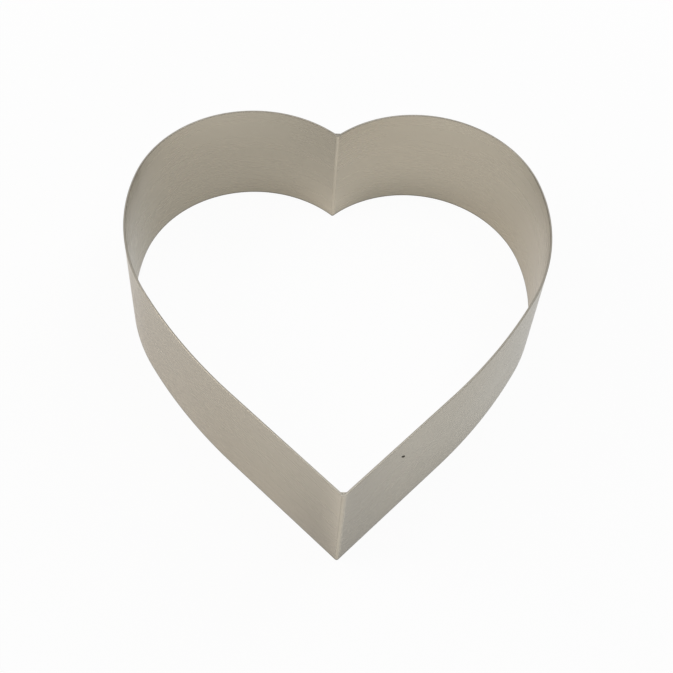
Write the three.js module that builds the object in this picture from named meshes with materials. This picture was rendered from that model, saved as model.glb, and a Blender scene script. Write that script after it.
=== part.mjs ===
// Heart cake ring: an open heart of satin stainless strip, standing on edge, with no floor and no lid.
// Two mirrored half bands meet corner to corner at the tip and at the cleft, and a weld joins them there.
// Millimetres, +Z up. The ring stands on its lower rim, with the tip towards -Y and the cleft towards +Y.
// The origin is on the lower rim's plane, in the middle of the ring's width and length.

import * as THREE from "three";

const { degToRad } = THREE.MathUtils;

// The strip that both halves are cut from
const BAND_HEIGHT = 60;
const STRIP_THICKNESS = 1;

// The inner face of one half, seen from above and followed from the tip to the cleft: a straight side,
// then the flank, the shoulder and the lobe, each an arc that runs on smoothly from the one before.
// The lobe's radius isn't set here: it follows from the rest, because the lobe has to end at the cleft.
// The half angles are those between the strip and the ring's centre line.
const TIP_HALF_ANGLE = degToRad(44.7);
const SIDE_LENGTH = 66.6;
const FLANK_RADIUS = 256;
const FLANK_TURN = degToRad(14.7);
const SHOULDER_RADIUS = 91;
const SHOULDER_TURN = degToRad(45.4);
const CLEFT_HALF_ANGLE = degToRad(47.9);

// What the halves leave between them at the root of each weld
const ROOT_GAP = 0.4;

// How many chords stand for one arc
const BAND_ARC_STEPS = 32;
const WELD_ARC_STEPS = 8;

// Colours, and how rough the brushed strip and the dressed welds are
const STRIP_COLOUR = 0xa69f8f;
const STRIP_ROUGHNESS = 0.45;
const WELD_COLOUR = 0xb3ac9d;
const WELD_ROUGHNESS = 0.35;

// A heading is the way the strip runs, as an angle anticlockwise from +X. The heart lies to its left.
const tipHeading = Math.PI / 2 - TIP_HALF_ANGLE;
const shoulderHeading = tipHeading + FLANK_TURN;
const lobeHeading = shoulderHeading + SHOULDER_TURN;
const cleftHeading = 1.5 * Math.PI - CLEFT_HALF_ANGLE;

const ahead = (heading) => new THREE.Vector2(Math.cos(heading), Math.sin(heading));
const outward = (heading) => new THREE.Vector2(Math.sin(heading), -Math.cos(heading));
const shifted = (point, direction, distance) => point.clone().addScaledVector(direction, distance);

// An arc that starts at a point and turns left from one heading to another.
function bend(start, radius, startHeading, endHeading) {
  const centre = shifted(start, outward(startHeading), -radius);
  const end = shifted(centre, outward(endHeading), radius);
  return { centre, radius, startHeading, endHeading, end };
}

// The inner face of the right-hand half. Its lobe stops where the strip's outer corner, which is
// the one that comes nearest to the other half there, is half the root gap from the centre line.
const sideStart = new THREE.Vector2(ROOT_GAP / 2, 0);
const sideEnd = shifted(sideStart, ahead(tipHeading), SIDE_LENGTH);
const flank = bend(sideEnd, FLANK_RADIUS, tipHeading, shoulderHeading);
const shoulder = bend(flank.end, SHOULDER_RADIUS, shoulderHeading, lobeHeading);
const lobeEndX = ROOT_GAP / 2 - STRIP_THICKNESS * outward(cleftHeading).x;
const lobeRadius = (shoulder.end.x - lobeEndX) / (Math.sin(lobeHeading) - Math.sin(cleftHeading));
const lobe = bend(shoulder.end, lobeRadius, lobeHeading, cleftHeading);

// The points of one face of the strip, at a distance outside the inner face, from the tip to the cleft.
function facePoints(distance) {
  const points = [sideStart, sideEnd].map((point) => shifted(point, outward(tipHeading), distance));
  for (const { centre, radius, startHeading, endHeading } of [flank, shoulder, lobe]) {
    const reach = radius + distance;
    const from = startHeading - Math.PI / 2;
    const to = endHeading - Math.PI / 2;
    const curve = new THREE.EllipseCurve(centre.x, centre.y, reach, reach, from, to);
    points.push(...curve.getPoints(BAND_ARC_STEPS).slice(1));
  }
  return points;
}

const innerFace = facePoints(0);
const outerFace = facePoints(STRIP_THICKNESS);
const bandOutline = [...innerFace, ...outerFace.toReversed()];

// The outline of a weld, which fills the groove between the two square-cut ends of the strip. It is
// given the right-hand corners of the groove, at its root and at its mouth. The weld's face is round
// and flush with the strip on both sides, so its centre is where the two cut ends, drawn on, would cross.
function weldOutline(root, mouth) {
  const slope = (mouth.y - root.y) / (mouth.x - root.x);
  const centre = new THREE.Vector2(0, root.y - slope * root.x);
  const radius = centre.distanceTo(mouth);
  const from = Math.atan2(mouth.y - centre.y, mouth.x);
  const to = -Math.PI - from;
  const face = new THREE.EllipseCurve(centre.x, centre.y, radius, radius, from, to, true);
  const facePointsBetween = face.getPoints(WELD_ARC_STEPS).slice(1, -1);
  const mirrored = ({ x, y }) => new THREE.Vector2(-x, y);
  return [root, mouth, ...facePointsBetween, mirrored(mouth), mirrored(root)];
}

// At the tip the groove opens outwards, and at the cleft it opens into the ring.
const tipWeldOutline = weldOutline(innerFace.at(0), outerFace.at(0));
const cleftWeldOutline = weldOutline(outerFace.at(-1), innerFace.at(-1));

// One piece of the ring: an outline raised to the height of the band.
function piece(name, outline, color, roughness) {
  const shape = new THREE.Shape(outline);
  const geometry = new THREE.ExtrudeGeometry(shape, { depth: BAND_HEIGHT, bevelEnabled: false });
  const material = new THREE.MeshStandardMaterial({ color, roughness, metalness: 1 });
  const mesh = new THREE.Mesh(geometry, material);
  mesh.name = name;
  return mesh;
}

const rightHalfBand = piece("right_half_band", bandOutline, STRIP_COLOUR, STRIP_ROUGHNESS);
const leftHalfBand = piece("left_half_band", bandOutline, STRIP_COLOUR, STRIP_ROUGHNESS);
leftHalfBand.scale.x = -1;
const tipWeld = piece("tip_weld", tipWeldOutline, WELD_COLOUR, WELD_ROUGHNESS);
const cleftWeld = piece("cleft_weld", cleftWeldOutline, WELD_COLOUR, WELD_ROUGHNESS);

// The plan above is drawn from the tip, so the ring is moved to bring the origin under its middle.
const ring = new THREE.Group();
ring.add(leftHalfBand, rightHalfBand, tipWeld, cleftWeld);
const box = new THREE.Box3().setFromObject(ring);
const middle = box.getCenter(new THREE.Vector3());
ring.position.set(-middle.x, -middle.y, -box.min.z);

const heartCakeRing = new THREE.Group();
heartCakeRing.add(ring);

export default heartCakeRing;
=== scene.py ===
# %% [markdown]
# # A heart cake ring of satin stainless strip
#
# A cake ring is a band of metal with no floor and no lid. It stands on a tray, and the cake is built up,
# baked or cut inside it. This one is a heart: two mirrored halves of 1 mm strip, rolled to shape and
# welded where they meet, at the tip and at the cleft between the lobes. The solid model brings the frame
# and the sizes. This script makes what the eye sees of the ring: its edges, its welds and its finish.

# %% Load the solid model as the frame
import math

import bmesh
import bpy
from mathutils import Matrix, Vector


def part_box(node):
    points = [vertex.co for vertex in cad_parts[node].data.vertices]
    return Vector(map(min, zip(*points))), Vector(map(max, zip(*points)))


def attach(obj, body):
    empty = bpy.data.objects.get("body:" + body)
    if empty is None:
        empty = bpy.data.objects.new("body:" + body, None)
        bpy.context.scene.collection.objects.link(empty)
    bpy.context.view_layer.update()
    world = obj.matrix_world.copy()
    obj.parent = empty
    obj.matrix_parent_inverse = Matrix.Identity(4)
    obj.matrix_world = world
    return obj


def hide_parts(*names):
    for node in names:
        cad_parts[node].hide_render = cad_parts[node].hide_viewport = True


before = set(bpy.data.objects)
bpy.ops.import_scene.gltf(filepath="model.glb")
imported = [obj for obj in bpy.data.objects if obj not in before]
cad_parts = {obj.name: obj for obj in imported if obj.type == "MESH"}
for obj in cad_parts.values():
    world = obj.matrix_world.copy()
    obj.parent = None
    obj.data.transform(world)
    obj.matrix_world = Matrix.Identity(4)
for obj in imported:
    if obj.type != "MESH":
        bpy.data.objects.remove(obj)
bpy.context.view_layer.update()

# %% [markdown]
# ## The sizes of one half
#
# A half of the heart is one line on the workshop floor: straight away from the tip, then three bends that
# run on smoothly from each other, the flank, the shoulder and the lobe. Few numbers are needed for that,
# and the last radius is none of them. The lobe has to end at the cleft, so its radius follows from the rest.

# %% Driving sizes, and what follows from them
MM = 0.001
STRIP_THICKNESS = 1.0 * MM
TIP_HALF_ANGLE = math.radians(44.7)
SIDE_LENGTH = 66.6 * MM
FLANK_RADIUS = 256 * MM
FLANK_TURN = math.radians(14.7)
SHOULDER_RADIUS = 91 * MM
SHOULDER_TURN = math.radians(45.4)
CLEFT_HALF_ANGLE = math.radians(47.9)

band_low, band_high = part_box("right_half_band")
tip_weld_low, tip_weld_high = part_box("tip_weld")
cleft_weld_low, cleft_weld_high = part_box("cleft_weld")
band_height = band_high.z
root_gap = 2 * band_low.x

tip_heading = math.pi / 2 - TIP_HALF_ANGLE
shoulder_heading = tip_heading + FLANK_TURN
lobe_heading = shoulder_heading + SHOULDER_TURN
cleft_heading = 1.5 * math.pi - CLEFT_HALF_ANGLE


def outward(heading):
    """The way out of the heart from a strip that runs along a heading, with the heart to its left."""
    return Vector((math.sin(heading), -math.cos(heading), 0))


def sideways(radius, start, end):
    """How far to the right a left-hand bend of this radius takes the strip between two headings."""
    return radius * (math.sin(end) - math.sin(start))


lobe_start_x = (
    root_gap / 2
    + SIDE_LENGTH * math.cos(tip_heading)
    + sideways(FLANK_RADIUS, tip_heading, shoulder_heading)
    + sideways(SHOULDER_RADIUS, shoulder_heading, lobe_heading)
)
lobe_end_x = root_gap / 2 - STRIP_THICKNESS * outward(cleft_heading).x
lobe_radius = (lobe_end_x - lobe_start_x) / sideways(1, lobe_heading, cleft_heading)
print(f"band {band_height / MM:.1f} mm high, lobe radius {lobe_radius / MM:.2f} mm")

# %% [markdown]
# ## The camera
#
# The picture looks down into the ring from in front of the tip, with the camera tilted a little.
# A camera can be placed by typed-in rotations, but they are hard to read afterwards. Here it is said as a
# photographer would say it: what it aims at, from how far, from which side, how steeply and with which lens.

# %% Camera
CAMERA_AIM = Vector((-0.35, -7.91, 30)) * MM
CAMERA_DISTANCE = 589.2 * MM
CAMERA_HEADING = math.radians(4.594)
CAMERA_ELEVATION = math.radians(55.178)
CAMERA_ROLL = math.radians(4.805)
SENSOR_WIDTH = 36
CAMERA_LENS = 67.725

turned = Matrix.Rotation(-CAMERA_HEADING, 4, "Z")
lowered = Matrix.Rotation(math.pi / 2 - CAMERA_ELEVATION, 4, "X")
rolled = Matrix.Rotation(CAMERA_ROLL, 4, "Z")
facing = turned @ lowered @ rolled
backwards = facing.to_3x3() @ Vector((0, 0, 1))

lens = bpy.data.cameras.new("photo_lens")
lens.sensor_width = SENSOR_WIDTH
lens.lens = CAMERA_LENS
camera = bpy.data.objects.new("photo_camera", lens)
camera.matrix_world = Matrix.Translation(CAMERA_AIM + CAMERA_DISTANCE * backwards) @ facing
bpy.context.scene.collection.objects.link(camera)
bpy.context.scene.camera = camera
bpy.context.scene.view_settings.view_transform = "Standard"
print("camera at", [round(value, 4) for value in camera.matrix_world.translation])

# %% [markdown]
# ## Small helpers for node trees
#
# Trees for shapes and trees for finishes are both built from nodes and links. A few helpers keep that
# readable. One gives an input its value, whether that is a number or another node's output. One adds a node
# with its options and inputs in one go. The others do what comes up again and again: a step of arithmetic,
# a ramp, a fade between two colours, and a group with named inputs and outputs.

# %% Helpers for nodes
def give(tree, socket, value):
    """Link an input to another node's output, or set it to a plain value."""
    if isinstance(value, bpy.types.NodeSocket):
        tree.links.new(value, socket)
    else:
        socket.default_value = value


def add_node(tree, kind, inputs=None, **options):
    """Add a node, set its options, and give its inputs their values by name or number."""
    node = tree.nodes.new(kind)
    for option, value in options.items():
        setattr(node, option, value)
    for key, value in (inputs or {}).items():
        give(tree, node.inputs[key], value)
    return node


def calculate(tree, operation, *values):
    """One step of arithmetic on numbers or outputs. The answer is an output."""
    return add_node(tree, "ShaderNodeMath", dict(enumerate(values)), operation=operation).outputs[0]


def ramp(tree, value, start, end, low=0.0, high=1.0, interpolation="LINEAR"):
    """A value that goes from low to high while another goes from start to end, and stays there."""
    inputs = {"Value": value, "From Min": start, "From Max": end, "To Min": low, "To Max": high}
    node = add_node(tree, "ShaderNodeMapRange", inputs, clamp=True, interpolation_type=interpolation)
    return node.outputs["Result"]


def mix_colours(tree, factor, first, second):
    """Fade from the first colour to the second. A mix node keeps its colours in sockets 6, 7 and 2."""
    node = add_node(tree, "ShaderNodeMix", {"Factor": factor}, data_type="RGBA")
    give(tree, node.inputs[6], first)
    give(tree, node.inputs[7], second)
    return node.outputs[2]


def new_group(name, kind, inputs, outputs):
    """A node group with named inputs (type and value) and outputs (type). Hands back its two ends."""
    group = bpy.data.node_groups.new(name, kind)
    for label, (socket_type, value) in inputs.items():
        socket = group.interface.new_socket(label, in_out="INPUT", socket_type=socket_type)
        if value is not None:
            socket.default_value = value
    for label, socket_type in outputs.items():
        group.interface.new_socket(label, in_out="OUTPUT", socket_type=socket_type)
    start = group.nodes.new("NodeGroupInput")
    end = group.nodes.new("NodeGroupOutput")
    return group, start.outputs, end.inputs


FLOAT = "NodeSocketFloat"
VECTOR = "NodeSocketVector"

# %% [markdown]
# ## The floor
#
# The ring stands on a plain white table that fades into white all round. For the light that it sends on,
# the table is ordinary white paint. For the eye it is mixed with an even white glow, so that it stays white
# while a trace of the ring's shadow is still on it. Bare metal shows its surroundings, so the table is half of
# the finish too: a wall seen from above mirrors the floor beside it. In that mirror image the glow is
# weaker, because there the shading of the paint is what makes the walls look round.

# %% Floor
FLOOR_SIZE = 8.0
FLOOR_DROP = 0.05 * MM
FLOOR_PAINT = (0.9, 0.9, 0.9, 1)
PICTURE_GLOW = 0.95
MIRROR_GLOW = 0.28
SHADE_INNER = 150 * MM
SHADE_OUTER = 600 * MM
WHITE = (1, 1, 1, 1)


def mirror_rays(path):
    """1 for rays that come from a mirror image or through glass."""
    tree = path["Is Glossy Ray"].id_data
    return calculate(tree, "MAXIMUM", path["Is Glossy Ray"], path["Is Transmission Ray"])


def white_table():
    material = bpy.data.materials.new("white_table")
    material.use_nodes = True
    tree = material.node_tree
    tree.nodes.clear()
    path = tree.nodes.new("ShaderNodeLightPath").outputs
    place = tree.nodes.new("ShaderNodeTexCoord").outputs["Object"]
    distance = add_node(tree, "ShaderNodeVectorMath", {0: place}, operation="LENGTH").outputs["Value"]
    far = ramp(tree, distance, SHADE_INNER, SHADE_OUTER, 0.0, 1.0, "SMOOTHSTEP")
    paint = add_node(tree, "ShaderNodeBsdfDiffuse", {"Color": FLOOR_PAINT}).outputs[0]

    white = add_node(tree, "ShaderNodeEmission", {"Color": WHITE, "Strength": 1.0}).outputs[0]
    share = ramp(tree, far, 0.0, 1.0, PICTURE_GLOW, 1.0)
    in_picture = add_node(tree, "ShaderNodeMixShader", {0: share, 1: paint, 2: white}).outputs[0]

    glow = calculate(tree, "MULTIPLY", ramp(tree, far, 0.0, 1.0, MIRROR_GLOW, 1.0), mirror_rays(path))
    glowing = add_node(tree, "ShaderNodeEmission", {"Color": WHITE, "Strength": glow}).outputs[0]
    in_mirror = add_node(tree, "ShaderNodeAddShader", {0: paint, 1: glowing}).outputs[0]

    shown = add_node(tree, "ShaderNodeMixShader", {0: path["Is Camera Ray"], 1: in_mirror, 2: in_picture})
    add_node(tree, "ShaderNodeOutputMaterial", {"Surface": shown.outputs[0]})
    return material


bpy.ops.mesh.primitive_plane_add(size=FLOOR_SIZE, location=(0, 0, -FLOOR_DROP))
floor = bpy.context.object
floor.name = "white_floor"
floor.data.materials.append(white_table())
print(f"floor of {FLOOR_SIZE:.0f} m, its shadow fades out at {SHADE_OUTER:.2f} m")

# %% [markdown]
# ## The world
#
# A photographer surrounds shiny things with white walls, and sets up dark cards, called flags, where an edge
# needs a dark line to stand out from the white. The world does both: mirror images see a sky that is
# white low down and greyer overhead, with a dark flag on either side. The picture itself sees plain white.
# The world doesn't light the floor, so the shadow there comes from the lamps alone.

# %% World
SKY_SEEN_LOW = 1.0
SKY_SEEN_HIGH = 0.6
SKY_FADE = (0.15, 0.8)
FLAG_SEEN = 0.15
FLAG_SIDE = (0.4, 0.6)
FLAG_TOP = (0.5, 0.7)

world = bpy.data.worlds.new("soft_studio")
bpy.context.scene.world = world
world.use_nodes = True
sky = world.node_tree
sky.nodes.clear()
direction = sky.nodes.new("ShaderNodeTexCoord").outputs["Generated"]
towards = add_node(sky, "ShaderNodeSeparateXYZ", {0: direction}).outputs
open_sky = ramp(sky, towards["Z"], *SKY_FADE, SKY_SEEN_LOW, SKY_SEEN_HIGH, "SMOOTHSTEP")
at_side = ramp(sky, calculate(sky, "ABSOLUTE", towards["X"]), *FLAG_SIDE)
flagged = calculate(sky, "MULTIPLY", at_side, ramp(sky, towards["Z"], *FLAG_TOP, 1.0, 0.0))
seen = calculate(sky, "MULTIPLY", open_sky, ramp(sky, flagged, 0.0, 1.0, 1.0, FLAG_SEEN))
sky_path = sky.nodes.new("ShaderNodeLightPath").outputs
mirrored_sky = calculate(sky, "MULTIPLY", seen, mirror_rays(sky_path))
strength = calculate(sky, "MAXIMUM", mirrored_sky, sky_path["Is Camera Ray"])
backdrop = add_node(sky, "ShaderNodeBackground", {"Color": WHITE, "Strength": strength})
add_node(sky, "ShaderNodeOutputWorld", {"Surface": backdrop.outputs[0]})
print(f"mirrored sky from {SKY_SEEN_LOW} to {SKY_SEEN_HIGH}, with {FLAG_SEEN} of that in the flags")

# %% [markdown]
# ## The lamps
#
# Four softboxes light the ring, warm from the left and cool from the right, because the walls in the photo
# change tint that way. Metal also shows every lamp as a bright patch. The one at the right rear would draw
# a white line along the right-hand rim, so it gives light but no mirror image. In a studio, a polarising filter
# takes a reflection away like that.

# %% Lamps
WARM = (1.0, 0.945, 0.905)
COOL = (0.945, 0.975, 1.0)
SOFTBOX_SIZE = 0.6
LAMPS = {
    "overhead_left": {"place": (-0.4, 0.0, 1.2), "watts": 2.7, "colour": WARM, "in_mirror": True},
    "overhead_right": {"place": (0.4, 0.0, 1.2), "watts": 3.8, "colour": COOL, "in_mirror": True},
    "left_side": {"place": (-1.0, 0.0, 0.8), "watts": 4.8, "colour": WARM, "in_mirror": True},
    "right_rear": {"place": (0.7, 0.7, 0.9), "watts": 4.8, "colour": COOL, "in_mirror": False},
}
for name, lamp in LAMPS.items():
    light = bpy.data.lights.new(name, "AREA")
    light.shape = "SQUARE"
    light.size = SOFTBOX_SIZE
    light.energy = lamp["watts"]
    light.color = lamp["colour"]
    softbox = bpy.data.objects.new(name, light)
    softbox.visible_glossy = lamp["in_mirror"]
    softbox.location = lamp["place"]
    softbox.rotation_euler = (-Vector(lamp["place"])).to_track_quat("-Z", "Y").to_euler()
    bpy.context.scene.collection.objects.link(softbox)
print("lamps:", ", ".join(LAMPS))

# %% [markdown]
# ## Finishes that more than one material needs
#
# The strip comes from the mill with a fine grain along its length, and hands and belts leave their marks on
# strip and weld alike. Such an effect is a node group, built once, and every material places it with its own
# values. The groups put out plain masks between 0 and 1, and each material decides what they mean.

# %% Grain: streaks along a run, and finer hairlines among them
def grain_group():
    group, start, end = new_group(
        "rolled grain", "ShaderNodeTree",
        {"Run": (VECTOR, None), "Streak Length": (FLOAT, 0.08), "Streak Width": (FLOAT, 0.001)},
        {"Streaks": FLOAT, "Hairlines": FLOAT},
    )
    for label, shorter, finer in (("Streaks", 1, 1), ("Hairlines", 2, 4)):
        length = calculate(group, "DIVIDE", start["Streak Length"], shorter)
        width = calculate(group, "DIVIDE", start["Streak Width"], finer)
        size = add_node(group, "ShaderNodeCombineXYZ", {"X": length, "Y": width, "Z": 1.0}).outputs[0]
        scaled = add_node(group, "ShaderNodeVectorMath", {0: start["Run"], 1: size}, operation="DIVIDE")
        noise = add_node(
            group, "ShaderNodeTexNoise", {"Vector": scaled.outputs[0], "Scale": 1.0, "Detail": 1.0},
        )
        group.links.new(noise.outputs["Fac"], end[label])
    return group


# %% Marks: smudges from handling and washing
SMUDGE_RANGE = (0.4, 0.7)


def marks_group():
    group, start, end = new_group(
        "handling marks", "ShaderNodeTree",
        {"Place": (VECTOR, None), "Size": (FLOAT, 0.03)},
        {"Smudge": FLOAT},
    )
    scale = calculate(group, "DIVIDE", 1.0, start["Size"])
    noise = add_node(
        group, "ShaderNodeTexNoise",
        {"Vector": start["Place"], "Scale": scale, "Detail": 3.0, "Distortion": 0.6},
    )
    group.links.new(ramp(group, noise.outputs["Fac"], *SMUDGE_RANGE), end["Smudge"])
    return group


# %% Rims: the cut faces at the top and bottom, and the broken edge beside them
LEVEL_TILT = (0.85, 0.97)


def rim_group():
    group, start, end = new_group(
        "cut rim", "ShaderNodeTree",
        {
            "Height": (FLOAT, 0.0), "Band Height": (FLOAT, band_height),
            "Top Width": (FLOAT, 0.0003), "Foot Width": (FLOAT, 0.0006),
            "Top Share": (FLOAT, 1.0),
        },
        {"Cut": FLOAT, "Edge": FLOAT},
    )
    normal = group.nodes.new("ShaderNodeNewGeometry").outputs["Normal"]
    upward = add_node(group, "ShaderNodeSeparateXYZ", {0: normal}).outputs["Z"]
    tilt = calculate(group, "ABSOLUTE", upward)
    level = ramp(group, tilt, *LEVEL_TILT)
    # The Edge mask is painted shade: it darkens the broken edges near the top and at the foot.
    below_top = calculate(group, "SUBTRACT", start["Band Height"], start["Height"])
    at_top = ramp(group, below_top, 0.0, start["Top Width"], 1.0, 0.0)
    at_foot = ramp(group, start["Height"], 0.0, start["Foot Width"], 1.0, 0.0)
    dark_top = calculate(group, "SUBTRACT", at_top, level)
    top_edge = calculate(group, "MULTIPLY", dark_top, start["Top Share"])
    foot_edge = calculate(group, "SUBTRACT", at_foot, level)
    group.links.new(level, end["Cut"])
    group.links.new(calculate(group, "MAXIMUM", top_edge, foot_edge), end["Edge"])
    return group


rolled_grain = grain_group()
handling_marks = marks_group()
cut_rim = rim_group()
print("shader groups:", ", ".join(group.name for group in (rolled_grain, handling_marks, cut_rim)))

# %% [markdown]
# ## The materials
#
# Satin stainless is a mirror seen through fine scratches: fully metallic, with a roughness that wanders a
# little. The strip's finish follows the strip, so it reads the UV map that the strip is given when it
# is rolled: metres along it, and metres up. The welds were dressed with a belt. Parts of them, and the strip
# beside the tip and at the foot of the cleft, get a painted highlight. The broken edges get a painted shade,
# which is weaker along the straight sides.

# %% Colours and helpers of the steel
STEEL = (0.47, 0.43, 0.352, 1)
STEEL_LIGHT = (0.49, 0.448, 0.367, 1)
# Painted highlight colour, used beside the tip, at the foot of the cleft and on the welds.
STEEL_PAINTED_HIGHLIGHT = (0.58, 0.53, 0.437, 1)
# Painted shade colour near the tip.
STEEL_PAINTED_SHADE = (0.385, 0.355, 0.298, 1)
STEEL_CUT = (0.44, 0.408, 0.35, 1)
# Painted shade colour for the broken edges.
STEEL_EDGE_SHADE = (0.15, 0.138, 0.118, 1)
TOP_SHADE = 0.25 * MM
FOOT_SHADE = 1.1 * MM
# Along the first part of each half, the painted shade on the top edges is weaker.
LESS_EDGE_SHADE_TO = 130 * MM
FULL_EDGE_SHADE_BY = 180 * MM
FRONT_EDGE_SHADE_SHARE = 0.4
CUT_ROUGHNESS = 0.12
STREAK_RANGE = (0.3, 0.7)
RUN_MAP = "strip_run"


def new_metal(name):
    """A material with a metallic shader and nothing else yet."""
    material = bpy.data.materials.new(name)
    material.use_nodes = True
    tree = material.node_tree
    shader = tree.nodes["Principled BSDF"]
    shader.inputs["Metallic"].default_value = 1.0
    return material, tree, shader.inputs


def place_group(tree, group, inputs):
    """Place a shader group in a material with its own values."""
    return add_node(tree, "ShaderNodeGroup", inputs, node_tree=group).outputs


def stored(tree, name):
    """A value that a tree for shapes has stored on the mesh."""
    return add_node(tree, "ShaderNodeAttribute", attribute_name=name).outputs["Fac"]


def finish_metal(tree, shader, colour, roughness, rim):
    """Paint shade on the broken edges, give the cut faces their own look, and hand the result to the shader."""
    colour = mix_colours(tree, rim["Edge"], colour, STEEL_EDGE_SHADE)
    give(tree, shader["Base Color"], mix_colours(tree, rim["Cut"], colour, STEEL_CUT))
    give(tree, shader["Roughness"], calculate(tree, "MULTIPLY_ADD", rim["Cut"], CUT_ROUGHNESS, roughness))


# %% The strip
STRIP_GRAIN = {"Streak Length": 400 * MM, "Streak Width": 0.8 * MM}
STRIP_SMUDGE_SIZE = 35 * MM
STRIP_SMUDGE = 0.02
STRIP_ROUGHNESS = (0.24, 0.28)
STRIP_BUMP = {"Strength": 0.03, "Distance": 0.01 * MM}
HAIRLINE_SHARE = 0.4
# How much of the painted highlight colour the strip takes.
PAINTED_HIGHLIGHT_SHARE = 0.9


def satin_strip():
    material, tree, shader = new_metal("satin_strip")
    place = tree.nodes.new("ShaderNodeTexCoord").outputs["Object"]
    height = add_node(tree, "ShaderNodeSeparateXYZ", {0: place}).outputs["Z"]
    run = add_node(tree, "ShaderNodeUVMap", uv_map=RUN_MAP).outputs[0]
    grain = place_group(tree, rolled_grain, {"Run": run, **STRIP_GRAIN})
    marks = place_group(tree, handling_marks, {"Place": place, "Size": STRIP_SMUDGE_SIZE})
    along = add_node(tree, "ShaderNodeSeparateXYZ", {0: run}).outputs["X"]
    # The painted shade on the top edges is weaker along the straight sides.
    top_share = ramp(tree, along, LESS_EDGE_SHADE_TO, FULL_EDGE_SHADE_BY, FRONT_EDGE_SHADE_SHARE, 1.0)
    rim = place_group(
        tree, cut_rim,
        {"Height": height, "Top Width": TOP_SHADE, "Foot Width": FOOT_SHADE, "Top Share": top_share},
    )

    colour = mix_colours(tree, grain["Streaks"], STEEL, STEEL_LIGHT)
    # Painted shade near the tip.
    colour = mix_colours(tree, stored(tree, "painted_shade"), colour, STEEL_PAINTED_SHADE)
    # Painted highlight beside the tip and at the foot of the cleft.
    painted_highlight = calculate(tree, "MULTIPLY", stored(tree, "painted_highlight"), PAINTED_HIGHLIGHT_SHARE)
    colour = mix_colours(tree, painted_highlight, colour, STEEL_PAINTED_HIGHLIGHT)
    roughness = ramp(tree, grain["Streaks"], *STREAK_RANGE, *STRIP_ROUGHNESS)
    smudged = calculate(tree, "MULTIPLY_ADD", marks["Smudge"], STRIP_SMUDGE, roughness)
    finish_metal(tree, shader, colour, smudged, rim)

    relief = calculate(tree, "MULTIPLY_ADD", grain["Hairlines"], HAIRLINE_SHARE, grain["Streaks"])
    bump = add_node(tree, "ShaderNodeBump", {"Height": relief, **STRIP_BUMP})
    give(tree, shader["Normal"], bump.outputs[0])
    return material


# %% The welds
WELD_GRAIN = {"Streak Length": 20 * MM, "Streak Width": 0.5 * MM}
WELD_SMUDGE_SIZE = 12 * MM
WELD_SMUDGE = 0.06
WELD_ROUGHNESS = (0.24, 0.32)
WELD_BUMP = {"Strength": 0.3, "Distance": 0.01 * MM}


def dressed_weld():
    material, tree, shader = new_metal("dressed_weld")
    place = tree.nodes.new("ShaderNodeTexCoord").outputs["Object"]
    axes = add_node(tree, "ShaderNodeSeparateXYZ", {0: place}).outputs
    run = add_node(tree, "ShaderNodeCombineXYZ", {"X": axes["Z"], "Y": axes["X"], "Z": axes["Y"]})
    grain = place_group(tree, rolled_grain, {"Run": run.outputs[0], **WELD_GRAIN})
    marks = place_group(tree, handling_marks, {"Place": place, "Size": WELD_SMUDGE_SIZE})
    rim = place_group(
        tree, cut_rim, {"Height": axes["Z"], "Top Width": TOP_SHADE, "Foot Width": FOOT_SHADE},
    )

    colour = mix_colours(tree, grain["Streaks"], STEEL, STEEL_LIGHT)
    # Painted highlight on parts of the weld face and at the foot of the cleft weld.
    colour = mix_colours(tree, stored(tree, "painted_highlight"), colour, STEEL_PAINTED_HIGHLIGHT)
    roughness = ramp(tree, grain["Streaks"], *STREAK_RANGE, *WELD_ROUGHNESS)
    smudged = calculate(tree, "MULTIPLY_ADD", marks["Smudge"], WELD_SMUDGE, roughness)
    finish_metal(tree, shader, colour, smudged, rim)
    bump = add_node(tree, "ShaderNodeBump", {"Height": grain["Hairlines"], **WELD_BUMP})
    give(tree, shader["Normal"], bump.outputs[0])
    return material


# %% The floor of the pit: painted shade, and a painted highlight where it faces up
PIT_SHADE_DARK = (0.012, 0.011, 0.01, 1)
PIT_SHADE_LIGHT = (0.07, 0.063, 0.054, 1)
PIT_GRAIN = 0.25 * MM
PIT_ROUGHNESS = (0.5, 0.8)
PIT_RELIEF = 0.05 * MM
LIT_SLOPE = (0.35, 0.6)


def pit_painted_shade():
    material, tree, shader = new_metal("pit_painted_shade")
    place = tree.nodes.new("ShaderNodeTexCoord").outputs["Object"]
    pit_noise = add_node(tree, "ShaderNodeTexNoise", {"Vector": place, "Scale": 1 / PIT_GRAIN, "Detail": 4.0})
    pit_noise = pit_noise.outputs["Fac"]
    normal = tree.nodes.new("ShaderNodeNewGeometry").outputs["Normal"]
    upward = add_node(tree, "ShaderNodeSeparateXYZ", {0: normal}).outputs["Z"]
    # Painted shade inside the pit, and a painted highlight where its floor faces up.
    scale = mix_colours(tree, pit_noise, PIT_SHADE_DARK, PIT_SHADE_LIGHT)
    painted_lit = ramp(tree, upward, *LIT_SLOPE)
    give(tree, shader["Base Color"], mix_colours(tree, painted_lit, scale, STEEL_LIGHT))
    give(tree, shader["Roughness"], ramp(tree, pit_noise, *STREAK_RANGE, *PIT_ROUGHNESS))
    bump = add_node(tree, "ShaderNodeBump", {"Height": pit_noise, "Distance": PIT_RELIEF})
    give(tree, shader["Normal"], bump.outputs[0])
    return material


strip_finish = satin_strip()
weld_finish = dressed_weld()
pit_finish = pit_painted_shade()
print("materials:", ", ".join(finish.name for finish in (strip_finish, weld_finish, pit_finish)))

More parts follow.
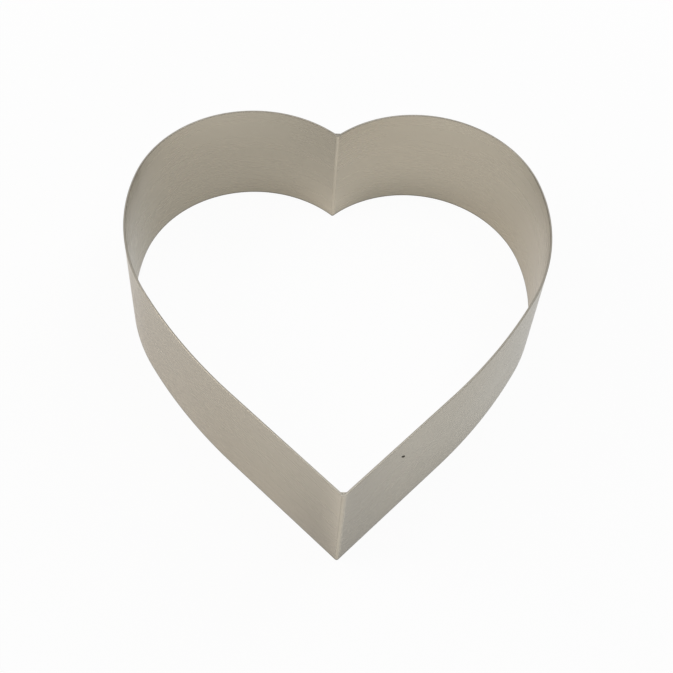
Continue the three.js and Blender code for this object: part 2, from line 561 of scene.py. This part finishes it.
# %% [markdown]
# ## One half of the heart, rolled by a rule
#
# A strip going through the rolls turns a little with every millimetre, so its shape is a rule for its heading:
# none on the straight, then so much per millimetre in each bend. Geometry Nodes follow that rule the way the
# rolls do. Every point of a line looks up its heading, takes a short step that way, and a running sum
# of the steps gives its place. A drawn curve would do as well, but then each size would be buried in its points.

# %% A tree that rolls half a band
INTEGER = "NodeSocketInt"
GEOMETRY = "NodeSocketGeometry"
MATERIAL = "NodeSocketMaterial"

band_tree, sizes, band_end = new_group(
    "rolled half band", "GeometryNodeTree",
    {
        "Start": (VECTOR, None), "Start Heading": (FLOAT, 0.0), "Side": (FLOAT, 1.0),
        "Side Length": (FLOAT, 0.0),
        "Flank Radius": (FLOAT, 0.0), "Flank Turn": (FLOAT, 0.0),
        "Shoulder Radius": (FLOAT, 0.0), "Shoulder Turn": (FLOAT, 0.0),
        "Lobe Radius": (FLOAT, 0.0), "Lobe Turn": (FLOAT, 0.0),
        "Band Height": (FLOAT, 0.0), "Steps": (INTEGER, 320), "Rows": (INTEGER, 12),
        "Tip Highlight Reach": (FLOAT, 0.0), "Foot Level": (FLOAT, 1.0),
        "Foot Painted Shade": (FLOAT, 0.0), "Top Painted Shade": (FLOAT, 0.0),
        "Painted Shade Reach": (FLOAT, 0.0), "Patch Reach": (FLOAT, 0.0), "Patch Height": (FLOAT, 0.0),
        "Patch Level": (FLOAT, 0.0), "Finish": (MATERIAL, None),
    },
    {"Geometry": GEOMETRY},
)

# %% The running sum: where each bend starts, the heading, and the path
bends = []
reached = sizes["Side Length"]
for bend in ("Flank", "Shoulder", "Lobe"):
    arc = calculate(band_tree, "MULTIPLY", sizes[bend + " Radius"], sizes[bend + " Turn"])
    bend_end = calculate(band_tree, "ADD", reached, arc)
    bends.append((reached, bend_end, sizes[bend + " Turn"]))
    reached = bend_end
run_length = reached

index = band_tree.nodes.new("GeometryNodeInputIndex").outputs[0]
step = calculate(band_tree, "DIVIDE", run_length, sizes["Steps"])
mid_step = calculate(band_tree, "MULTIPLY", calculate(band_tree, "ADD", index, 0.5), step)
heading = sizes["Start Heading"]
for bend_start, bend_end, turn in bends:
    turned_so_far = ramp(band_tree, mid_step, bend_start, bend_end, 0.0, turn)
    heading = calculate(band_tree, "ADD", heading, turned_so_far)

stride_x = calculate(band_tree, "MULTIPLY", step, calculate(band_tree, "COSINE", heading))
stride_y = calculate(band_tree, "MULTIPLY", step, calculate(band_tree, "SINE", heading))
stride = add_node(band_tree, "ShaderNodeCombineXYZ", {"X": stride_x, "Y": stride_y})
walked = add_node(
    band_tree, "GeometryNodeAccumulateField", {"Value": stride.outputs[0]}, data_type="FLOAT_VECTOR",
).outputs["Trailing"]
place = add_node(band_tree, "ShaderNodeVectorMath", {0: sizes["Start"], 1: walked}, operation="ADD")
mirror = add_node(band_tree, "ShaderNodeCombineXYZ", {"X": sizes["Side"], "Y": 1.0, "Z": 1.0})
mirrored = add_node(
    band_tree, "ShaderNodeVectorMath", {0: place.outputs[0], 1: mirror.outputs[0]}, operation="MULTIPLY",
)

line = add_node(band_tree, "GeometryNodeCurvePrimitiveLine")
point_count = calculate(band_tree, "ADD", sizes["Steps"], 1)
points = add_node(
    band_tree, "GeometryNodeResampleCurve", {"Curve": line.outputs[0], "Count": point_count}, mode="COUNT",
)
path = add_node(
    band_tree, "GeometryNodeSetPosition",
    {"Geometry": points.outputs[0], "Position": mirrored.outputs[0]},
)

# %% The sweep: a sheet, with its run along and up kept as a UV map
along_path = add_node(band_tree, "GeometryNodeCaptureAttribute", domain="POINT")
along_path.capture_items.new("FLOAT", "Along")
give(band_tree, along_path.inputs["Geometry"], path.outputs[0])
give(band_tree, along_path.inputs["Along"], calculate(band_tree, "MULTIPLY", index, step))

# The sweep turns the section's Y axis down, so the upright runs the other way to go up.
upright_end = calculate(band_tree, "MULTIPLY", sizes["Band Height"], -1.0)
upright_top = add_node(band_tree, "ShaderNodeCombineXYZ", {"Y": upright_end})
upright = add_node(band_tree, "GeometryNodeCurvePrimitiveLine", {"End": upright_top.outputs[0]})
row_count = calculate(band_tree, "ADD", sizes["Rows"], 1)
rows = add_node(
    band_tree, "GeometryNodeResampleCurve", {"Curve": upright.outputs[0], "Count": row_count}, mode="COUNT",
)
sheet = add_node(
    band_tree, "GeometryNodeCurveToMesh",
    {"Curve": along_path.outputs["Geometry"], "Profile Curve": rows.outputs[0]},
)
position = band_tree.nodes.new("GeometryNodeInputPosition").outputs[0]
height = add_node(band_tree, "ShaderNodeSeparateXYZ", {0: position}).outputs["Z"]
run = add_node(band_tree, "ShaderNodeCombineXYZ", {"X": along_path.outputs["Along"], "Y": height})
mapped = add_node(
    band_tree, "GeometryNodeStoreNamedAttribute",
    {"Geometry": sheet.outputs[0], "Name": RUN_MAP, "Value": run.outputs[0]},
    data_type="FLOAT2", domain="CORNER",
)

# %% [markdown]
# ## Painted light beside the welds
#
# Beside the tip the left half gets a painted highlight, weaker towards the foot, and both halves get a painted
# shade that reaches further along the strip and changes with height. A painted highlight at the foot of the
# cleft stands in for light gathered there. Both are stored on the sheet as values between 0 and 1, named
# painted_highlight and painted_shade, for the material to read. They fade along the strip and with height, and
# the tree that rolls the strip knows both.

# %% The zones beside the welds
along = along_path.outputs["Along"]
to_cleft = calculate(band_tree, "SUBTRACT", run_length, along)
# Painted highlight beside the tip, weaker at the foot.
still_near = ramp(band_tree, along, 0.0, sizes["Tip Highlight Reach"], 1.0, 0.0)
near_tip = calculate(band_tree, "POWER", still_near, 2.0)
foot_share = ramp(band_tree, height, 0.0, sizes["Patch Height"], sizes["Foot Level"], 1.0)
tip_zone = calculate(band_tree, "MULTIPLY", near_tip, foot_share)
# The patch at the foot of the cleft is a painted highlight too.
near_cleft = ramp(band_tree, to_cleft, 0.0, sizes["Patch Reach"], sizes["Patch Level"], 0.0, "SMOOTHSTEP")
near_foot = ramp(band_tree, height, 0.0, sizes["Patch Height"], 1.0, 0.0, "SMOOTHSTEP")
patch = calculate(band_tree, "MULTIPLY", near_cleft, near_foot)
painted_highlight = add_node(
    band_tree, "GeometryNodeStoreNamedAttribute",
    {
        "Geometry": mapped.outputs[0], "Name": "painted_highlight",
        "Value": calculate(band_tree, "MAXIMUM", tip_zone, patch),
    },
    data_type="FLOAT", domain="POINT",
)
# Painted shade near the tip, its strength set at the foot and at the top.
shade_near_tip = ramp(band_tree, along, 0.0, sizes["Painted Shade Reach"], 1.0, 0.0, "SMOOTHSTEP")
by_height = ramp(band_tree, height, 0.0, sizes["Band Height"], sizes["Foot Painted Shade"], sizes["Top Painted Shade"])
zoned = add_node(
    band_tree, "GeometryNodeStoreNamedAttribute",
    {
        "Geometry": painted_highlight.outputs[0], "Name": "painted_shade",
        "Value": calculate(band_tree, "MULTIPLY", shade_near_tip, by_height),
    },
    data_type="FLOAT", domain="POINT",
)

# %% [markdown]
# ## Which edges are broken
#
# A maker breaks the two long edges of the strip, and leaves the cut ends square for the welds. On the sheet,
# the long edges are those that lie level and belong to one face only. They get a weight that the bevel
# will go by, and it fades out towards the ends.

# %% The edges to be broken, and the end of the tree
BREAK_FADE = (0.5 * MM, 3 * MM)
LEVEL_WITHIN = 0.001 * MM

faces_beside = band_tree.nodes.new("GeometryNodeInputMeshEdgeNeighbors").outputs["Face Count"]
ends = band_tree.nodes.new("GeometryNodeInputMeshEdgeVertices").outputs
end_heights = [
    add_node(band_tree, "ShaderNodeSeparateXYZ", {0: ends[label]}).outputs["Z"]
    for label in ("Position 1", "Position 2")
]
on_border = calculate(band_tree, "COMPARE", faces_beside, 1, 0.1)
is_level = calculate(band_tree, "COMPARE", *end_heights, LEVEL_WITHIN)
to_end = calculate(band_tree, "MINIMUM", along, to_cleft)
long_edge = calculate(band_tree, "MULTIPLY", on_border, is_level)
away_from_end = ramp(band_tree, to_end, *BREAK_FADE)
edged = add_node(
    band_tree, "GeometryNodeStoreNamedAttribute",
    {
        "Geometry": zoned.outputs[0], "Name": "bevel_weight_edge",
        "Value": calculate(band_tree, "MULTIPLY", long_edge, away_from_end),
    },
    data_type="FLOAT", domain="EDGE",
)
smooth = add_node(band_tree, "GeometryNodeSetShadeSmooth", {"Geometry": edged.outputs[0]})
real = add_node(band_tree, "GeometryNodeRealizeInstances", {"Geometry": smooth.outputs[0]})
finished = add_node(
    band_tree, "GeometryNodeSetMaterial", {"Geometry": real.outputs[0], "Material": sizes["Finish"]},
)
give(band_tree, band_end["Geometry"], finished.outputs[0])
print("band tree:", len(band_tree.nodes), "nodes")

# %% [markdown]
# ## From a sheet to a strip
#
# The tree rolls a sheet without thickness, along the middle of the strip. Solidify gives it its gauge, and a
# small bevel breaks the cut edges the way a maker does, so that the ring doesn't cut the baker's hands.
# Weighted normals keep the broad faces flat beside those small roundings.

# %% Roll both halves
SMOOTH_ARC_SPARE = 0.06 * MM
EDGE_BREAK = 0.25 * MM
EDGE_BREAK_STEPS = 4
SHARP_ANGLE = math.radians(50)
BAND_STEPS = 324
BAND_ROWS = 12
# Reach of the painted highlight beside the tip: none on the right half, some on the left.
NO_TIP_HIGHLIGHT = 0.01 * MM
TIP_HIGHLIGHT_REACH = 14 * MM
TIP_FOOT_LEVEL = 0.35
# How far along the strip the painted shade near the tip reaches.
PAINTED_SHADE_REACH = 45 * MM
PATCH_REACH = 28 * MM
PATCH_HEIGHT = 30 * MM
PATCH_LEVEL = 0.85

drawn_thickness = STRIP_THICKNESS - SMOOTH_ARC_SPARE
tip_corner = Vector((root_gap / 2, tip_weld_high.y, 0))
sheet_start = tip_corner + outward(tip_heading) * STRIP_THICKNESS / 2

BAND_SIZES = {
    "Start": sheet_start,
    "Start Heading": tip_heading,
    "Side Length": SIDE_LENGTH,
    "Flank Radius": FLANK_RADIUS + STRIP_THICKNESS / 2,
    "Flank Turn": FLANK_TURN,
    "Shoulder Radius": SHOULDER_RADIUS + STRIP_THICKNESS / 2,
    "Shoulder Turn": SHOULDER_TURN,
    "Lobe Radius": lobe_radius + STRIP_THICKNESS / 2,
    "Lobe Turn": cleft_heading - lobe_heading,
    "Band Height": band_height,
    "Steps": BAND_STEPS,
    "Rows": BAND_ROWS,
    "Foot Level": TIP_FOOT_LEVEL,
    "Painted Shade Reach": PAINTED_SHADE_REACH,
    "Patch Reach": PATCH_REACH,
    "Patch Height": PATCH_HEIGHT,
    "Patch Level": PATCH_LEVEL,
    "Finish": strip_finish,
}


def with_tree(name, tree, values):
    """An object whose mesh comes from a tree, with the tree's inputs set by their identifiers."""
    holder = bpy.data.objects.new(name, bpy.data.meshes.new(name))
    bpy.context.scene.collection.objects.link(holder)
    modifier = holder.modifiers.new("shape", "NODES")
    modifier.node_group = tree
    for socket in tree.interface.items_tree:
        if socket.in_out == "INPUT" and socket.name in values:
            modifier[socket.identifier] = values[socket.name]
    return holder


def as_plain_mesh(holder):
    """Turn what the modifiers make into a plain mesh, and leave no modifier behind."""
    depsgraph = bpy.context.evaluated_depsgraph_get()
    mesh = bpy.data.meshes.new_from_object(
        holder.evaluated_get(depsgraph), preserve_all_data_layers=True, depsgraph=depsgraph,
    )
    holder.modifiers.clear()
    holder.data = mesh
    return holder


def half_strip(name, side, tip_highlight_reach, foot_painted_shade, top_painted_shade):
    """One half, rolled, thickened and with its long edges broken. Side is 1 on the right and -1 on the left."""
    marks = {"Tip Highlight Reach": tip_highlight_reach, "Foot Painted Shade": foot_painted_shade, "Top Painted Shade": top_painted_shade}
    strip = with_tree(name, band_tree, {**BAND_SIZES, "Side": side, **marks})
    gauge = strip.modifiers.new("gauge", "SOLIDIFY")
    gauge.thickness = drawn_thickness
    gauge.offset = 0
    gauge.use_even_offset = True
    break_edges = strip.modifiers.new("broken edges", "BEVEL")
    break_edges.width = EDGE_BREAK
    break_edges.segments = EDGE_BREAK_STEPS
    break_edges.limit_method = "WEIGHT"
    return strip


# The foot and top values set the painted shade near the tip.
right_strip = half_strip("right_half_strip", 1.0, NO_TIP_HIGHLIGHT, foot_painted_shade=0.4, top_painted_shade=0.7)
left_strip = half_strip("left_half_strip", -1.0, TIP_HIGHLIGHT_REACH, foot_painted_shade=1.0, top_painted_shade=0.2)
print(f"strip drawn {drawn_thickness / MM:.2f} mm thick, edges broken by {EDGE_BREAK / MM:.2f} mm")

# %% [markdown]
# ## A pit in the right-hand side
#
# One small blemish sits on the right outer side, near the tip and below the upper rim: a dark spot with a
# light edge, as a pit in metal has. Paint could fake it, but a hollow catches the light as the real one
# does, so it is cut out, with a stretched ball. Its floor still gets painted shade, and a painted highlight
# where it faces up. After that the strips are final, and become plain meshes.

# %% Cut the pit
PIT_ALONG = 36.1 * MM
PIT_HEIGHT = 46.9 * MM
PIT_LENGTH = 4.0 * MM
PIT_WIDTH = 1.3 * MM
PIT_DEPTH = 0.5 * MM
PIT_LEAN = math.radians(36)

out = outward(tip_heading)
ahead = Vector((math.cos(tip_heading), math.sin(tip_heading), 0))
outer_face = tip_corner + out * (STRIP_THICKNESS + drawn_thickness) / 2
pit_mouth = outer_face + ahead * PIT_ALONG + Vector((0, 0, PIT_HEIGHT))
lengthways = Vector((0, 0, math.cos(PIT_LEAN))) - ahead * math.sin(PIT_LEAN)
crossways = out.cross(lengthways)
pit_axes = Matrix((lengthways, crossways, out)).transposed().to_4x4()
pit_shape = Matrix.Diagonal((PIT_LENGTH / 2, PIT_WIDTH / 2, PIT_DEPTH, 1))

ball_mesh = bpy.data.meshes.new("pit_ball")
shaped = bmesh.new()
stretched = Matrix.Translation(pit_mouth) @ pit_axes @ pit_shape
bmesh.ops.create_icosphere(shaped, subdivisions=4, radius=1.0, matrix=stretched)
for face in shaped.faces:
    face.smooth = True
shaped.to_mesh(ball_mesh)
shaped.free()
ball_mesh.materials.append(pit_finish)
ball = bpy.data.objects.new("pit_ball", ball_mesh)
bpy.context.scene.collection.objects.link(ball)

cut = right_strip.modifiers.new("pit", "BOOLEAN")
cut.operation = "DIFFERENCE"
cut.solver = "EXACT"
cut.material_mode = "TRANSFER"
cut.object = ball

for strip in (right_strip, left_strip):
    as_plain_mesh(strip)
    strip.data.set_sharp_from_angle(angle=SHARP_ANGLE)
    even_light = strip.modifiers.new("flat faces stay flat", "WEIGHTED_NORMAL")
    even_light.keep_sharp = True
    as_plain_mesh(strip)
bpy.data.objects.remove(ball)
for strip in (right_strip, left_strip):
    print(strip.name, len(strip.data.polygons), "faces,", [m.name for m in strip.data.materials])

# %% [markdown]
# ## The welds
#
# At each corner the square-cut ends leave a groove, and the weld fills it with a round face that is flush on
# both sides. A sector of a circle has just that section. It is swept up the height of the band, and the face
# keeps a faint trace of the ripples that a weld freezes in, because a belt never takes them off entirely.

# %% A tree that lays a weld bead
WELD_FACE_STEPS = 24

weld_tree, weld, weld_end = new_group(
    "weld bead", "GeometryNodeTree",
    {
        "Centre": (VECTOR, None), "Radius": (FLOAT, 0.0), "Middle Angle": (FLOAT, 0.0),
        "Spread": (FLOAT, 0.0), "Root Reach": (FLOAT, 0.0), "Fillet Leg": (FLOAT, 0.0),
        "Band Height": (FLOAT, 0.0), "Steps": (INTEGER, 200),
        "Ripple Pitch": (FLOAT, 0.001), "Ripple Depth": (FLOAT, 0.0), "Seed": (INTEGER, 0),
        "Left Highlight": (FLOAT, 1.0), "Middle Highlight": (FLOAT, 1.0), "Right Highlight": (FLOAT, 1.0),
        "Foot Level": (FLOAT, 1.0), "Patch Height": (FLOAT, 0.0), "Patch Level": (FLOAT, 0.0),
        "Finish": (MATERIAL, None),
    },
    {"Geometry": GEOMETRY},
)
half_spread = calculate(weld_tree, "MULTIPLY", weld["Spread"], 0.5)
section = add_node(
    weld_tree, "GeometryNodeCurveArc",
    {
        "Resolution": WELD_FACE_STEPS, "Radius": weld["Radius"],
        "Start Angle": calculate(weld_tree, "SUBTRACT", weld["Middle Angle"], half_spread),
        "Sweep Angle": weld["Spread"], "Connect Center": True,
    },
    mode="RADIUS",
)
seam_top = add_node(weld_tree, "ShaderNodeCombineXYZ", {"Z": weld["Band Height"]})
seam = add_node(weld_tree, "GeometryNodeCurvePrimitiveLine", {"End": seam_top.outputs[0]})
seam_steps = add_node(
    weld_tree, "GeometryNodeResampleCurve", {"Curve": seam.outputs[0], "Count": weld["Steps"]}, mode="COUNT",
)
bead = add_node(
    weld_tree, "GeometryNodeCurveToMesh",
    {"Curve": seam_steps.outputs[0], "Profile Curve": section.outputs[0], "Fill Caps": True},
)

# %% Ripples on the face of the weld
FACE_BORDER = (0.9, 0.99)
RIPPLE_BOW = 0.8
RIPPLE_WANDER = 2.0
WANDER_SCALE = 150.0

weld_place = weld_tree.nodes.new("GeometryNodeInputPosition").outputs[0]
axes = add_node(weld_tree, "ShaderNodeSeparateXYZ", {0: weld_place}).outputs
flat_place = add_node(weld_tree, "ShaderNodeCombineXYZ", {"X": axes["X"], "Y": axes["Y"]}).outputs[0]
from_axis = add_node(weld_tree, "ShaderNodeVectorMath", {0: flat_place}, operation="LENGTH").outputs["Value"]
on_face = ramp(weld_tree, calculate(weld_tree, "DIVIDE", from_axis, weld["Radius"]), *FACE_BORDER)
wander = add_node(
    weld_tree, "ShaderNodeTexNoise",
    {"W": weld["Seed"], "Vector": weld_place, "Scale": WANDER_SCALE, "Detail": 1.0}, noise_dimensions="4D",
).outputs["Fac"]
aside = calculate(weld_tree, "ABSOLUTE", axes["X"])
bowed = calculate(weld_tree, "MULTIPLY_ADD", aside, RIPPLE_BOW, axes["Z"])
phase = calculate(weld_tree, "DIVIDE", bowed, weld["Ripple Pitch"])
phase = calculate(weld_tree, "MULTIPLY_ADD", wander, RIPPLE_WANDER, phase)
wave = calculate(weld_tree, "COSINE", calculate(weld_tree, "MULTIPLY", phase, 2 * math.pi))
sunk = calculate(weld_tree, "MULTIPLY", ramp(weld_tree, wave, -1.0, 1.0, 1.0, 0.0), weld["Ripple Depth"])
sunk = calculate(weld_tree, "MULTIPLY", sunk, on_face)
away = add_node(weld_tree, "ShaderNodeVectorMath", {0: flat_place}, operation="NORMALIZE").outputs[0]
offset = add_node(
    weld_tree, "ShaderNodeVectorMath",
    {0: away, "Scale": calculate(weld_tree, "MULTIPLY", sunk, -1.0)}, operation="SCALE",
).outputs[0]

# %% How much painted highlight lies on the weld: across it, and up from its foot
half_width = calculate(weld_tree, "MULTIPLY", weld["Radius"], calculate(weld_tree, "SINE", half_spread))
left_end = calculate(weld_tree, "MULTIPLY", half_width, -1.0)
up_to_middle = ramp(weld_tree, axes["X"], left_end, 0.0, weld["Left Highlight"], weld["Middle Highlight"])
change = calculate(weld_tree, "SUBTRACT", weld["Right Highlight"], weld["Middle Highlight"])
past_middle = ramp(weld_tree, axes["X"], 0.0, half_width, 0.0, change)
across = calculate(weld_tree, "ADD", up_to_middle, past_middle)
left_at_foot = ramp(weld_tree, axes["Z"], 0.0, weld["Patch Height"], weld["Foot Level"], 1.0)
across = calculate(weld_tree, "MULTIPLY", across, left_at_foot)
at_foot = ramp(weld_tree, axes["Z"], 0.0, weld["Patch Height"], weld["Patch Level"], 0.0, "SMOOTHSTEP")
highlighted = add_node(
    weld_tree, "GeometryNodeStoreNamedAttribute",
    {
        "Geometry": bead.outputs[0], "Name": "painted_highlight",
        "Value": calculate(weld_tree, "MAXIMUM", across, at_foot),
    },
    data_type="FLOAT", domain="POINT",
)
rippled = add_node(weld_tree, "GeometryNodeSetPosition", {"Geometry": highlighted.outputs[0], "Offset": offset})

# %% [markdown]
# ## The fillet behind the groove
#
# Some of the weld runs through the root of the groove and fills the corner behind it, which blunts the inner
# corner at the tip. It is a second, smaller section, a triangle that leans on both strips. It is swept up
# the seam like the first, and a Boolean union makes one closed solid of the two.

# %% The fillet, and the end of the tree
fillet_section = add_node(
    weld_tree, "GeometryNodeCurveArc",
    {
        "Resolution": 2, "Radius": weld["Fillet Leg"], "Start Angle": half_spread,
        "Sweep Angle": calculate(weld_tree, "SUBTRACT", math.pi, weld["Spread"]), "Connect Center": True,
    },
    mode="RADIUS",
)
fillet = add_node(
    weld_tree, "GeometryNodeCurveToMesh",
    {"Curve": seam.outputs[0], "Profile Curve": fillet_section.outputs[0], "Fill Caps": True},
)
to_corner = calculate(weld_tree, "DIVIDE", weld["Root Reach"], calculate(weld_tree, "COSINE", half_spread))
corner = add_node(weld_tree, "ShaderNodeCombineXYZ", {"Y": calculate(weld_tree, "MULTIPLY", to_corner, -1.0)})
in_corner = add_node(
    weld_tree, "GeometryNodeTransform", {"Geometry": fillet.outputs[0], "Translation": corner.outputs[0]},
)
united = add_node(weld_tree, "GeometryNodeMeshBoolean", operation="UNION", solver="EXACT")
for part in (rippled, in_corner):
    give(weld_tree, united.inputs["Mesh 2"], part.outputs[0])
seated = add_node(
    weld_tree, "GeometryNodeTransform", {"Geometry": united.outputs[0], "Translation": weld["Centre"]},
)
weld_smooth = add_node(weld_tree, "GeometryNodeSetShadeSmooth", {"Geometry": seated.outputs[0]})
weld_real = add_node(weld_tree, "GeometryNodeRealizeInstances", {"Geometry": weld_smooth.outputs[0]})
weld_finished = add_node(
    weld_tree, "GeometryNodeSetMaterial", {"Geometry": weld_real.outputs[0], "Material": weld["Finish"]},
)
give(weld_tree, weld_end["Geometry"], weld_finished.outputs[0])
print("weld tree:", len(weld_tree.nodes), "nodes")

# %% Lay both welds
RIPPLE_PITCH = 1.3 * MM
RIPPLE_DEPTH = 0.02 * MM
FILLET_LEG = 1.6 * MM


def weld_bead(name, root_y, half_angle, highlights, foot_level, patch_level, seed):
    """A weld whose groove has its root at a place on the centre line and opens towards the tip's side.

    Highlights say how much painted highlight lies on its left border, its middle and its right border.
    """
    slant = math.pi / 2 - half_angle
    behind = root_gap / 2 / math.tan(slant)
    root_reach = root_gap / 2 / math.sin(slant)
    bead = with_tree(name, weld_tree, {
        "Centre": Vector((0, root_y + behind, 0)),
        "Radius": root_reach + (STRIP_THICKNESS + drawn_thickness) / 2,
        "Middle Angle": -math.pi / 2,
        "Spread": 2 * slant,
        "Root Reach": root_reach,
        "Fillet Leg": FILLET_LEG,
        "Band Height": band_height,
        "Ripple Pitch": RIPPLE_PITCH,
        "Ripple Depth": RIPPLE_DEPTH,
        "Seed": seed,
        "Left Highlight": highlights[0],
        "Middle Highlight": highlights[1],
        "Right Highlight": highlights[2],
        "Foot Level": foot_level,
        "Patch Height": PATCH_HEIGHT,
        "Patch Level": patch_level,
        "Finish": weld_finish,
    })
    as_plain_mesh(bead)
    bead.data.set_sharp_from_angle(angle=SHARP_ANGLE)
    return bead


# The three values per weld are painted highlight on its left border, its middle and its right border.
tip_bead = weld_bead(
    "tip_weld_bead", tip_weld_high.y, TIP_HALF_ANGLE,
    highlights=(0.5, 0.2, 0.0), foot_level=TIP_FOOT_LEVEL, patch_level=0.0, seed=1,
)
cleft_bead = weld_bead(
    "cleft_weld_bead", cleft_weld_high.y, CLEFT_HALF_ANGLE,
    highlights=(0.0, 0.4, 0.0), foot_level=1.0, patch_level=PATCH_LEVEL, seed=2,
)
print("welds:", tip_bead.name, cleft_bead.name)

# %% [markdown]
# ## Every piece takes its place
#
# The four pieces stand for the four solids of the model. They all belong to one rigid body.

# %% Bodies, and the solids that the pieces replace
PIECES = (
    (left_strip, "strip", "left_half_band"),
    (right_strip, "strip", "right_half_band"),
    (tip_bead, "weld", "tip_weld"),
    (cleft_bead, "weld", "cleft_weld"),
)
for piece, slot, node in PIECES:
    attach(piece, "root")
    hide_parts(node)
    corners = [vertex.co for vertex in piece.data.vertices]
    low = [round(min(corner[axis] for corner in corners) / MM, 3) for axis in range(3)]
    high = [round(max(corner[axis] for corner in corners) / MM, 3) for axis in range(3)]
    print(piece.name, "from", low, "to", high, "mm,", len(piece.data.polygons), "faces")
